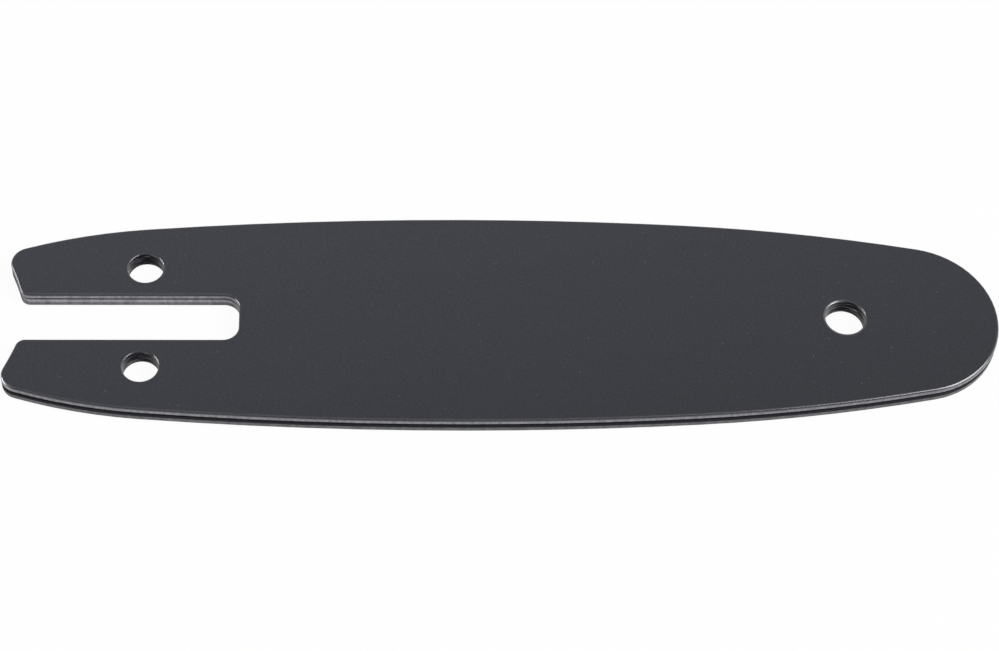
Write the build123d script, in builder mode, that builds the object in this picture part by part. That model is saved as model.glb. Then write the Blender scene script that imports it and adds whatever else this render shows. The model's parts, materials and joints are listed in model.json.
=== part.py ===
from build123d import *
import os

# Chainsaw guide bar: a thin core plate spot-welded between two like side plates. The core stops short of
# the side plates' edge, and the gap that is left all round is the groove that the chain runs in.
# Sizes are in millimetres and degrees. Stations are measured along the bar, from the tail to the nose.

# Plates
side_thickness = 1.05
core_thickness = 1.2
groove_depth = 4.5
core_end_gap = 0.1
core_corner_radius = 2.5

# Outline
bar_length = 185.0
bar_width = 46.4
widest_station = 85.0
nose_radius = 16.7
nose_flank_angle = 11.0
nose_flank_run = 22.4
tail_flank_angle = 18.1
tail_flank_run = 11.6
tail_corner_radius = 3.5
tail_corner_spread = 25.4
tail_end_slant = 23.0
tail_end_radius = 57.0

# Adjuster slot and holes
slot_width = 9.95
slot_depth = 42.8
slot_corner_radius = 2.9
slot_mouth_radius = 1.8
tail_hole_diameter = 6.7
tail_hole_station = 25.15
tail_hole_spacing = 22.4
nose_hole_diameter = 7.6
nose_hole_setback = 29.0

# Edges: rolled over by the stamping on top of a plate, broken by deburring on the underside and in holes
upper_round = 0.5
underside_round = 0.2
hole_chamfer = 0.05

# Heights of the faces where the plates meet
lower_seam = side_thickness
upper_seam = lower_seam + core_thickness

# How near two places have to be to count as one
match_tolerance = 0.001


def heading(angle):
    """Unit vector in the plane of the bar, at an angle from the direction of the nose."""
    return Vector(1, 0).rotate(Axis.Z, angle)


def outward(travel):
    """Normal that points out of the bar, for a travel from the nose to the tail on its left flank."""
    return travel.rotate(Axis.Z, -90)


def flank_join(start, start_travel, start_run, end, end_travel):
    """Point and travel where two tangent arcs meet between start and end.

    start_run is the length of the first arc's tangents, and the second arc's follows from it.
    """
    span = end - start
    spread = 1 - start_travel.dot(end_travel)
    end_run = (span.dot(span) / 2 - start_run * span.dot(start_travel)) / (
        span.dot(end_travel) + start_run * spread
    )
    start_apex = start + start_travel * start_run
    end_apex = end - end_travel * end_run
    travel = (end_apex - start_apex).normalized()
    return start_apex + travel * start_run, travel


# Points of the left flank, from the nose to the tail, each with the direction of travel there
nose_centre = Vector(bar_length - nose_radius, 0)
tail_centre = Vector(tail_corner_radius, tail_corner_spread / 2)
nose_travel = heading(180 - nose_flank_angle)
crown_travel = heading(180)
tail_travel = heading(180 + tail_flank_angle)
nose_end = nose_centre + outward(nose_travel) * nose_radius
crown = Vector(widest_station, bar_width / 2)
tail_start = tail_centre + outward(tail_travel) * tail_corner_radius
nose_join, nose_join_travel = flank_join(nose_end, nose_travel, nose_flank_run, crown, crown_travel)
tail_join, tail_join_back = flank_join(tail_start, -tail_travel, tail_flank_run, crown, -crown_travel)
flank = [
    (nose_end, nose_travel),
    (nose_join, nose_join_travel),
    (crown, crown_travel),
    (tail_join, -tail_join_back),
    (tail_start, tail_travel),
]

# Centre of the hollow end of the left prong, which slants where it leaves the tail corner
end_centre = tail_centre + heading(180 + tail_end_slant) * (tail_corner_radius + tail_end_radius)


def nose_and_flank(inset):
    """Half of the nose and the left flank, moved in by inset. Returns the point where the flank ends."""
    CenterArc(nose_centre, nose_radius - inset, 0, 90 - nose_flank_angle)
    points = [point - outward(travel) * inset for point, travel in flank]
    for (_, travel), start, end in zip(flank, points, points[1:]):
        TangentArc(start, end, tangent=travel)
    return points[-1]


def corner_and_end(centre, radius, inset, end_gap):
    """The tail corner about centre, the hollow end, and the bar's axis back to the nose's tip."""
    end_normal = (end_centre - centre).normalized()
    end_start = centre + end_normal * radius
    notch_reach = ((tail_end_radius + end_gap) ** 2 - end_centre.Y**2) ** 0.5
    notch = Vector(end_centre.X + notch_reach, 0)
    TangentArc(centre + outward(tail_travel) * radius, end_start, tangent=tail_travel)
    TangentArc(end_start, notch, tangent=end_normal.rotate(Axis.Z, 90))
    Line(notch, (bar_length - inset, 0))


def slot_corners(sketch):
    """The slot's corners in groups, those at its mouth first and those at its closed end last."""
    on_slot = sketch.vertices().filter_by(
        lambda corner: abs(abs(corner.Y) - slot_width / 2) < match_tolerance
    )
    return on_slot.group_by(Axis.X)


def close_and_cut(sketch):
    """Makes a plate's profile from its half outline, with the slot and the holes cut through."""
    make_face()
    mirror(about=Plane.XZ)
    with Locations((slot_depth / 2, 0)):
        Rectangle(slot_depth, slot_width, mode=Mode.SUBTRACT)
    with Locations((tail_hole_station, 0)):
        with GridLocations(0, tail_hole_spacing, 1, 2):
            Circle(tail_hole_diameter / 2, mode=Mode.SUBTRACT)
    with Locations((bar_length - nose_hole_setback, 0)):
        Circle(nose_hole_diameter / 2, mode=Mode.SUBTRACT)
    fillet(slot_corners(sketch)[0], radius=slot_mouth_radius)
    fillet(slot_corners(sketch)[-1], radius=slot_corner_radius)


def tail_plane(height):
    """Drawing plane at a height, with its origin below the tail's end."""
    return Plane(origin=(-bar_length / 2, 0, height))


def soften_edges(plate, side, rim_radius):
    """Rounds the rim and chamfers the holes of a plate's outermost face on a side."""
    face = plate.faces().sort_by(side)[-1]
    fillet(face.outer_wire().edges(), radius=rim_radius)
    face = plate.faces().sort_by(side)[-1]
    chamfer(face.inner_wires().edges(), length=hole_chamfer)


os.makedirs("parts", exist_ok=True)

# Side plates: the same outline above and below the core, with their outer edges softened
with BuildSketch() as side_profile:
    with BuildLine():
        nose_and_flank(0)
        corner_and_end(tail_centre, tail_corner_radius, 0, 0)
    close_and_cut(side_profile)

for name, height, outer_side, rim_radius in (
    ("lower_side_plate", 0, -Axis.Z, underside_round),
    ("upper_side_plate", upper_seam, Axis.Z, upper_round),
):
    with BuildPart() as side_plate:
        with BuildSketch(tail_plane(height)):
            add(side_profile.sketch)
        extrude(amount=side_thickness)
        soften_edges(side_plate, outer_side, rim_radius)
    side_plate.part.label = name
    export_step(side_plate.part, f"parts/{name}.step")

# Core plate: its edge is the floor of the chain groove, and its tail corner touches that and the hollow end
corner_path = tail_start - outward(tail_travel) * (groove_depth + core_corner_radius)
corner_reach = tail_end_radius + core_end_gap + core_corner_radius
end_offset = end_centre - corner_path
end_along = end_offset.dot(tail_travel)
core_centre = corner_path + tail_travel * (
    end_along - (end_along**2 + corner_reach**2 - end_offset.dot(end_offset)) ** 0.5
)

with BuildSketch() as core_profile:
    with BuildLine():
        flank_end = nose_and_flank(groove_depth)
        Line(flank_end, core_centre + outward(tail_travel) * core_corner_radius)
        corner_and_end(core_centre, core_corner_radius, groove_depth, core_end_gap)
    close_and_cut(core_profile)

with BuildPart() as core_plate:
    with BuildSketch(tail_plane(lower_seam)):
        add(core_profile.sketch)
    extrude(amount=core_thickness)
    soften_edges(core_plate, Axis.Z, upper_round)
core_plate.part.label = "core_plate"
export_step(core_plate.part, "parts/core_plate.step")
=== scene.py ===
import json
import math

import bpy
from mathutils import Matrix, Vector


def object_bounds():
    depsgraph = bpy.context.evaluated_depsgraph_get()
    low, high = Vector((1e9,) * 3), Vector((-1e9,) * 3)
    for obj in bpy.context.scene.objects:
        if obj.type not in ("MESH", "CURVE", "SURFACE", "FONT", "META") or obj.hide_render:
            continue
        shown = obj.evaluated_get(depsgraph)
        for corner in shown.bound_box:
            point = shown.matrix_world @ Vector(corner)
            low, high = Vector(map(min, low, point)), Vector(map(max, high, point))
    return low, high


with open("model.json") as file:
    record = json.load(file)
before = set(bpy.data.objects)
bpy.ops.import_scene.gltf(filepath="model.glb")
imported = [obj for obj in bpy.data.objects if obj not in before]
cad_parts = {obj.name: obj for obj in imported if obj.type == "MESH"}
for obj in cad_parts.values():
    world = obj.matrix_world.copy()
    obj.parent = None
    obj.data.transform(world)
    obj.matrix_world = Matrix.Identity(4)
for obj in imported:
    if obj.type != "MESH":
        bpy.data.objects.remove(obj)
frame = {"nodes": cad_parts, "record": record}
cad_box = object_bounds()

# Lengths are in metres, angles in degrees and lamps' powers in watts. +X runs from the tail to the nose,
# +Y to the far side and +Z up. An azimuth is 0 on the nose's side and 90 on the far side.
MM = 0.001

# Camera, as fitted to the photograph
PHOTO_WIDTH_PX = 999
FOCAL_LENGTH_PX = 2668
SENSOR_WIDTH_MM = 36
CAMERA_AZIMUTH = -95.19
CAMERA_ELEVATION = 54.15
CAMERA_ROLL = 4.28
CAMERA_DISTANCE = 499.4 * MM
CAMERA_TARGET = Vector((-1.23, 0.47, 0)) * MM
CAMERA_CLIP_START = 10 * MM
CAMERA_CLIP_END = 20

# Limits of the upright part of a surface's normal, where walls end and where all that slopes ends
WALL_UPRIGHT = (0.05, 0.3)
SLOPE_UPRIGHT = (0.95, 0.997)

# Coat on the faces: the two shades of its grain, and painted shading that makes it lighter towards the tail
# and the far side, in place of light falling off across the bar
COAT_DARK = (0.0394, 0.0405, 0.0477)
COAT_LIGHT = (0.0581, 0.0597, 0.0700)
COAT_PAINTED_SHADING_PER_METRE = (-1.1, 5.0, 0)
COAT_ROUGHNESS = 0.46
COAT_SPECULAR = 0.3
COAT_IOR = 1.5
GRAIN_WAVES_PER_METRE = 3600
GRAIN_DETAIL = 4
GRAIN_DEPTH = 0.01 * MM
GRAIN_STRENGTH = 0.25

# Specks in the coat: where they fade, in cells of the pattern from their middle, and how rare light ones are
SPECKS_PER_METRE = 600
SPECK_FADE = (0.05, 0.13)
SPECK_RARITY = 4
SPECK_LIGHTNESS = 1.9

# Bores: near-black metal, painted shade that stands for the shadowed floor their walls reflect, with lighter
# streaks, and a lip with a painted highlight whose width goes with the mount's name. The zones are limits of
# the distance from the bore's edge, in widths of the lip.
BORE_SHADE_COLOUR = (0.004, 0.004, 0.006)
BORE_ZONE = (0.4, 1)
STREAK_COLOUR = (0.18, 0.18, 0.20)
STREAK_WAVES_PER_METRE = 280
STREAK_DETAIL = 2
STREAK_SQUEEZE = (1, 1, 8)
STREAK_LEVELS = (0.5, 0.7)
LIP_WIDTHS = {"nose_hole": 0.35 * MM, "tail_hole_left": 0.18 * MM, "tail_hole_right": 0.18 * MM}
# A lighter colour painted on the bores' lips as a highlight
LIP_HIGHLIGHT_COLOUR = (0.08, 0.08, 0.085)
LIP_DEPTH = 0.26 * MM
LIP_ZONE = (0.7, 1)

# Edges of each plate: the steel's colour along the rim, darker on the lower plate as painted shade; its
# painted colour at the near corner of the tail, lighter on the upper plate as a painted highlight and darker
# on the lower plate as painted shade; and the share of gloss where the face rolls over to the edge
PLATE_EDGES = {
    "upper_side_plate": {"steel": (0.32, 0.32, 0.345), "painted_corner_steel": (0.42, 0.42, 0.45), "gloss": 0.8},
    "core_plate": {"steel": (0.38, 0.38, 0.40), "painted_corner_steel": (0.38, 0.38, 0.40), "gloss": 0},
    # The lower plate's darker steel is painted shade, for the floor's contact shadow that its rim reflects
    "lower_side_plate": {"steel": (0.18, 0.18, 0.19), "painted_corner_steel": (0.10, 0.10, 0.10), "gloss": 0.8},
}
EDGE_ROUGHNESS = 0.26
EDGE_METAL = 0.8
GLOSS_ROUGHNESS = 0.22
GLOSS_IOR = 2.1
SHEAR_WAVES_PER_METRE = 1300
SHEAR_DETAIL = 3
SHEAR_SQUEEZE = (1, 1, 0.35)
SHEAR_DARKNESS = 0.65
SHEAR_DEPTH = 0.05 * MM
SHEAR_STRENGTH = 0.5

# Near corner of the tail, where light and shade are painted on the edges: the limits that it fades between,
# and how much of that painted light its rolled-over part takes
CORNER_X = (cad_box[0][0] + 0.8 * MM, cad_box[0][0] + 3 * MM)
CORNER_Y = (-14 * MM, -13 * MM)
CORNER_PAINTED_LIGHT_SHARE = 0.6

# Levels of a noise pattern between which its two colours blend
BLEND_LEVELS = (0.3, 0.7)

# Studio: a white floor, dark surroundings that are white low down on the far side, and softboxes
FLOOR_SIZE = 8
FLOOR_DROP = 0.1 * MM
FLOOR_ALBEDO = 0.9
FLOOR_GLOW = 0.96
FLOOR_GLOW_IN_REFLECTIONS = 0.4
SURROUNDINGS_COLOUR = (0.10, 0.10, 0.11)
HORIZON_COLOUR = (1, 1, 1)
HORIZON_UP = (0.02, 0.3)
HORIZON_FAR = (-0.3, 0.4)
SOFTBOXES = {
    "left_softbox": {"azimuth": 176, "elevation": 12, "distance": 2, "size": (1.2, 0.8), "power": 18},
    "right_softbox": {"azimuth": -20, "elevation": 40, "distance": 3.6, "size": (3, 2.9), "power": 155},
    "top_panel": {"azimuth": 90, "elevation": 90, "distance": 1, "size": (1.2, 1.2), "power": 1},
}


def feed(tree, socket, value):
    """Links an input socket to an output, or sets it to a number, a vector or a colour."""
    if isinstance(value, bpy.types.NodeSocket):
        tree.links.new(value, socket)
    else:
        socket.default_value = value


def math_node(tree, operation, *values):
    """A Math node on numbers and sockets. Returns its output."""
    node = tree.nodes.new("ShaderNodeMath")
    node.operation = operation
    for socket, value in zip(node.inputs, values):
        feed(tree, socket, value)
    return node.outputs["Value"]


def vector_node(tree, operation, first, second):
    """A Vector Math node. Returns its output, which is a number for a distance and a dot product."""
    node = tree.nodes.new("ShaderNodeVectorMath")
    node.operation = operation
    feed(tree, node.inputs[0], first)
    feed(tree, node.inputs["Scale" if operation == "SCALE" else 1], second)
    return node.outputs["Value" if operation in ("DISTANCE", "DOT_PRODUCT") else "Vector"]


def split(tree, vector):
    """The X, Y and Z outputs of a vector."""
    node = tree.nodes.new("ShaderNodeSeparateXYZ")
    feed(tree, node.inputs["Vector"], vector)
    return node.outputs


def scaled(colour, share):
    """A colour with each of its parts times share."""
    return tuple(share * part for part in colour)


def mix_colour(tree, share, first, second):
    """A colour that goes from first to second as share goes from 0 to 1. Colours are tuples or sockets."""
    node = tree.nodes.new("ShaderNodeMix")
    node.data_type = "RGBA"
    feed(tree, node.inputs["Factor"], share)
    for name, colour in (("A", first), ("B", second)):
        socket = next(s for s in node.inputs if s.name == name and s.type == "RGBA")
        feed(tree, socket, (*colour, 1) if isinstance(colour, tuple) else colour)
    return next(s for s in node.outputs if s.type == "RGBA")


def ramp(tree, value, start, end, limits=(0, 1)):
    """Goes smoothly from start to end as value goes through the limits, and is held outside them."""
    node = tree.nodes.new("ShaderNodeMapRange")
    node.interpolation_type = "SMOOTHSTEP"
    low, high = limits
    settings = {"Value": value, "From Min": low, "From Max": high, "To Min": start, "To Max": end}
    for name, setting in settings.items():
        feed(tree, node.inputs[name], setting)
    return node.outputs["Result"]


def noise(tree, place, waves_per_metre, detail, squeeze=(1, 1, 1)):
    """A noise pattern in the bar's own frame, finer along the axes where squeeze is larger."""
    node = tree.nodes.new("ShaderNodeTexNoise")
    feed(tree, node.inputs["Scale"], waves_per_metre)
    feed(tree, node.inputs["Detail"], detail)
    feed(tree, node.inputs["Vector"], vector_node(tree, "MULTIPLY", place, squeeze))
    return node.outputs["Fac"]


def bump(tree, height, depth, strength, below=None):
    """The normal of a relief, on top of the relief whose normal is below."""
    node = tree.nodes.new("ShaderNodeBump")
    feed(tree, node.inputs["Height"], height)
    feed(tree, node.inputs["Distance"], depth)
    feed(tree, node.inputs["Strength"], strength)
    if below is not None:
        feed(tree, node.inputs["Normal"], below)
    return node.outputs["Normal"]


def new_material(name):
    """A material with nodes. Returns it and its node tree."""
    material = bpy.data.materials.new(name)
    material.use_nodes = True
    return material, material.node_tree


def bore_reach(tree, place):
    """Distance from the edge of the nearest bore, in widths of that bore's lip. It is negative inside."""
    flat = vector_node(tree, "MULTIPLY", place, (1, 1, 0))
    nearest = None
    for mount in frame["record"]["mounts"]:
        if mount["kind"] != "bore":
            continue
        x, y, _ = mount["pos_m"]
        gap = vector_node(tree, "DISTANCE", flat, (x, y, 0))
        reach = math_node(tree, "SUBTRACT", gap, mount["dims"]["r_mm"] * MM)
        reach = math_node(tree, "DIVIDE", reach, LIP_WIDTHS[mount["name"]])
        nearest = reach if nearest is None else math_node(tree, "MINIMUM", nearest, reach)
    return nearest


def near_tail_corner(tree, place):
    """1 on the near corner of the tail and 0 elsewhere."""
    parts = split(tree, place)
    tail = ramp(tree, parts["X"], 1, 0, CORNER_X)
    near = ramp(tree, parts["Y"], 1, 0, CORNER_Y)
    return math_node(tree, "MULTIPLY", tail, near)


def specks(tree, place):
    """Pinpoints scattered over the bar, most of them faint and a few up to 1, and 0 elsewhere."""
    node = tree.nodes.new("ShaderNodeTexVoronoi")
    feed(tree, node.inputs["Scale"], SPECKS_PER_METRE)
    feed(tree, node.inputs["Vector"], place)
    chance = tree.nodes.new("ShaderNodeSeparateColor")
    feed(tree, chance.inputs["Color"], node.outputs["Color"])
    dot = ramp(tree, node.outputs["Distance"], 1, 0, SPECK_FADE)
    return math_node(tree, "MULTIPLY", dot, math_node(tree, "POWER", chance.outputs["Red"], SPECK_RARITY))


def face_colour(tree, place, grain):
    """Colour of the coat, with its grain, painted shading that makes it lighter towards the tail and the far
    side, and specks.
    """
    colour = mix_colour(tree, ramp(tree, grain, 0, 1, BLEND_LEVELS), COAT_DARK, COAT_LIGHT)
    # Painted shading: the coat is lighter towards the tail and the far side
    painted_shading = vector_node(tree, "DOT_PRODUCT", place, COAT_PAINTED_SHADING_PER_METRE)
    colour = vector_node(tree, "SCALE", colour, math_node(tree, "ADD", painted_shading, 1))
    return mix_colour(tree, specks(tree, place), colour, scaled(COAT_LIGHT, SPECK_LIGHTNESS))


def bore_shade_and_streaks(tree, place):
    """Colour of the bores' walls: near-black painted shade with lighter streaks that are thin in height and
    long round the wall.
    """
    streaks = noise(tree, place, STREAK_WAVES_PER_METRE, STREAK_DETAIL, STREAK_SQUEEZE)
    return mix_colour(tree, ramp(tree, streaks, 0, 1, STREAK_LEVELS), BORE_SHADE_COLOUR, STREAK_COLOUR)


def edge_colour(tree, marks, corner, steel, painted_corner_steel):
    """Colour of a plate's edges, with the marks that the stamping left, and on the near corner of the tail
    the painted light of painted_corner_steel: a highlight on the upper plate, shade on the lower.
    """
    colour = mix_colour(tree, ramp(tree, marks, 0, 1, BLEND_LEVELS), scaled(steel, SHEAR_DARKNESS), steel)
    return mix_colour(tree, corner, colour, painted_corner_steel)


def coat_material(name, steel, painted_corner_steel, gloss):
    """Satin anthracite coat on the faces, steel on the plate's edges and near-black metal in the bores,
    which is painted shade.

    steel is the edges' colour, darkened on the lower plate as painted shade, painted_corner_steel is their
    colour at the near corner of the tail, with a painted highlight there on the upper plate and painted
    shade on the lower, and gloss is the share of clear gloss on rolled-over edges and on the bores' lips.
    """
    material, tree = new_material(name)
    place = tree.nodes.new("ShaderNodeTexCoord").outputs["Object"]
    normal = tree.nodes.new("ShaderNodeNewGeometry").outputs["Normal"]

    # Zones, 1 inside and 0 outside
    upright = math_node(tree, "ABSOLUTE", split(tree, normal)["Z"])
    wall = ramp(tree, upright, 1, 0, WALL_UPRIGHT)
    slope = ramp(tree, upright, 1, 0, SLOPE_UPRIGHT)
    rolled = math_node(tree, "SUBTRACT", slope, wall)
    reach = bore_reach(tree, place)
    lip = ramp(tree, reach, 1, 0, LIP_ZONE)
    bore = math_node(tree, "MULTIPLY", wall, ramp(tree, reach, 1, 0, BORE_ZONE))
    edge = math_node(tree, "SUBTRACT", wall, bore)
    corner = near_tail_corner(tree, place)
    # Painted light on the rolled-over part at the near corner of the tail: a highlight on the upper plate,
    # shade on the lower
    painted_corner_zone = math_node(tree, "MULTIPLY", rolled, corner)
    bare_edge_and_painted_corner = math_node(tree, "MAXIMUM", edge, math_node(tree, "MULTIPLY", painted_corner_zone, CORNER_PAINTED_LIGHT_SHARE))

    # Colour
    grain = noise(tree, place, GRAIN_WAVES_PER_METRE, GRAIN_DETAIL)
    marks = noise(tree, place, SHEAR_WAVES_PER_METRE, SHEAR_DETAIL, SHEAR_SQUEEZE)
    # The bores' lips take a lighter colour, a painted highlight
    colour = mix_colour(tree, lip, face_colour(tree, place, grain), LIP_HIGHLIGHT_COLOUR)
    # The bores' walls are near-black, a painted shade for the shadowed floor they reflect, with lighter
    # streaks
    colour = mix_colour(tree, bore, colour, bore_shade_and_streaks(tree, place))
    # The edges' steel carries painted shade on the lower plate and painted light at the near corner of the
    # tail
    colour = mix_colour(tree, bare_edge_and_painted_corner, colour, edge_colour(tree, marks, corner, steel, painted_corner_steel))

    # Relief: grain on the faces, stamping marks on the edges, and the lips of the bores
    relief = bump(tree, grain, GRAIN_DEPTH, ramp(tree, slope, GRAIN_STRENGTH, 0))
    relief = bump(tree, marks, SHEAR_DEPTH, ramp(tree, edge, 0, SHEAR_STRENGTH), relief)
    relief = bump(tree, ramp(tree, reach, 0, 1), LIP_DEPTH, ramp(tree, slope, 1, 0), relief)

    settings = {
        "Base Color": colour,
        "Metallic": math_node(tree, "MAXIMUM", ramp(tree, bare_edge_and_painted_corner, 0, EDGE_METAL), bore),
        "Roughness": ramp(tree, slope, COAT_ROUGHNESS, EDGE_ROUGHNESS),
        "Specular IOR Level": COAT_SPECULAR,
        "IOR": COAT_IOR,
        "Normal": relief,
        "Coat Normal": relief,
    }
    if gloss:
        shiny = math_node(tree, "SUBTRACT", math_node(tree, "MAXIMUM", rolled, lip), bore)
        settings["Coat Weight"] = math_node(tree, "MULTIPLY", shiny, gloss)
        settings["Coat Roughness"] = GLOSS_ROUGHNESS
        settings["Coat IOR"] = GLOSS_IOR
    shader = tree.nodes["Principled BSDF"]
    for socket_name, setting in settings.items():
        feed(tree, shader.inputs[socket_name], setting)
    return material


def floor_material():
    """White floor: it glows white to the camera and in reflections, and its matt share keeps the shadow."""
    material, tree = new_material("floor_white")
    tree.nodes.clear()
    path = tree.nodes.new("ShaderNodeLightPath").outputs
    direct = math_node(tree, "MULTIPLY", path["Is Camera Ray"], FLOOR_GLOW)
    mirrored = math_node(tree, "MAXIMUM", path["Is Glossy Ray"], path["Is Transmission Ray"])
    mirrored = math_node(tree, "MULTIPLY", mirrored, FLOOR_GLOW_IN_REFLECTIONS)
    matt = tree.nodes.new("ShaderNodeBsdfDiffuse")
    feed(tree, matt.inputs["Color"], (FLOOR_ALBEDO, FLOOR_ALBEDO, FLOOR_ALBEDO, 1))
    glow = tree.nodes.new("ShaderNodeEmission")
    mix = tree.nodes.new("ShaderNodeMixShader")
    feed(tree, mix.inputs["Fac"], math_node(tree, "MAXIMUM", direct, mirrored))
    feed(tree, mix.inputs[1], matt.outputs["BSDF"])
    feed(tree, mix.inputs[2], glow.outputs["Emission"])
    output = tree.nodes.new("ShaderNodeOutputMaterial")
    feed(tree, output.inputs["Surface"], mix.outputs["Shader"])
    return material


def add_object(name, data):
    """A new object in the scene."""
    piece = bpy.data.objects.new(name, data)
    bpy.context.scene.collection.objects.link(piece)
    return piece


def direction(azimuth, elevation):
    """Unit vector from the bar to a place in the studio."""
    around, above = math.radians(azimuth), math.radians(elevation)
    return Vector((
        math.cos(around) * math.cos(above),
        math.sin(around) * math.cos(above),
        math.sin(above),
    ))


def make_floor():
    """The floor, just below the bar's underside."""
    half = FLOOR_SIZE / 2
    corners = [(x * half, y * half, -FLOOR_DROP) for x, y in ((-1, -1), (1, -1), (1, 1), (-1, 1))]
    mesh = bpy.data.meshes.new("floor")
    mesh.from_pydata(corners, [], [range(len(corners))])
    mesh.materials.append(floor_material())
    floor = add_object("floor", mesh)


def make_world():
    """Studio surroundings: white at the far horizon, dark overhead and behind the camera."""
    world = bpy.data.worlds.new("studio")
    world.use_nodes = True
    tree = world.node_tree
    parts = split(tree, tree.nodes.new("ShaderNodeTexCoord").outputs["Generated"])
    low = ramp(tree, parts["Z"], 1, 0, HORIZON_UP)
    far = ramp(tree, parts["Y"], 0, 1, HORIZON_FAR)
    horizon = math_node(tree, "MULTIPLY", low, far)
    colour = mix_colour(tree, horizon, SURROUNDINGS_COLOUR, HORIZON_COLOUR)
    feed(tree, tree.nodes["Background"].inputs["Color"], colour)
    bpy.context.scene.world = world


def make_softbox(name, azimuth, elevation, distance, size, power):
    """An area lamp that faces the bar from a direction."""
    lamp = bpy.data.lights.new(name, "AREA")
    lamp.shape = "RECTANGLE"
    lamp.size, lamp.size_y = size
    lamp.energy = power
    piece = add_object(name, lamp)
    away = direction(azimuth, elevation)
    piece.location = away * distance
    piece.rotation_euler = away.to_track_quat("Z", "Y").to_euler()


def make_camera():
    """The photograph's camera, which looks at its target and is rolled about its line of sight."""
    data = bpy.data.cameras.new("camera")
    data.sensor_width = SENSOR_WIDTH_MM
    data.lens = FOCAL_LENGTH_PX * SENSOR_WIDTH_MM / PHOTO_WIDTH_PX
    data.clip_start, data.clip_end = CAMERA_CLIP_START, CAMERA_CLIP_END
    camera = add_object("camera", data)
    roll = math.radians(CAMERA_ROLL)
    back = direction(CAMERA_AZIMUTH, CAMERA_ELEVATION)
    level = direction(CAMERA_AZIMUTH + 90, 0)
    above = back.cross(level)
    right = level * math.cos(roll) + above * math.sin(roll)
    up = above * math.cos(roll) - level * math.sin(roll)
    turn = Matrix((right, up, back)).transposed().to_4x4()
    camera.matrix_world = Matrix.Translation(CAMERA_TARGET + back * CAMERA_DISTANCE) @ turn
    bpy.context.scene.camera = camera


for name, node in frame["nodes"].items():
    node.material_slots[0].material = coat_material(name + "_coat", **PLATE_EDGES[name])

make_floor()
make_world()
for name, settings in SOFTBOXES.items():
    make_softbox(name, **settings)
make_camera()
bpy.context.scene.view_settings.view_transform = "Standard"
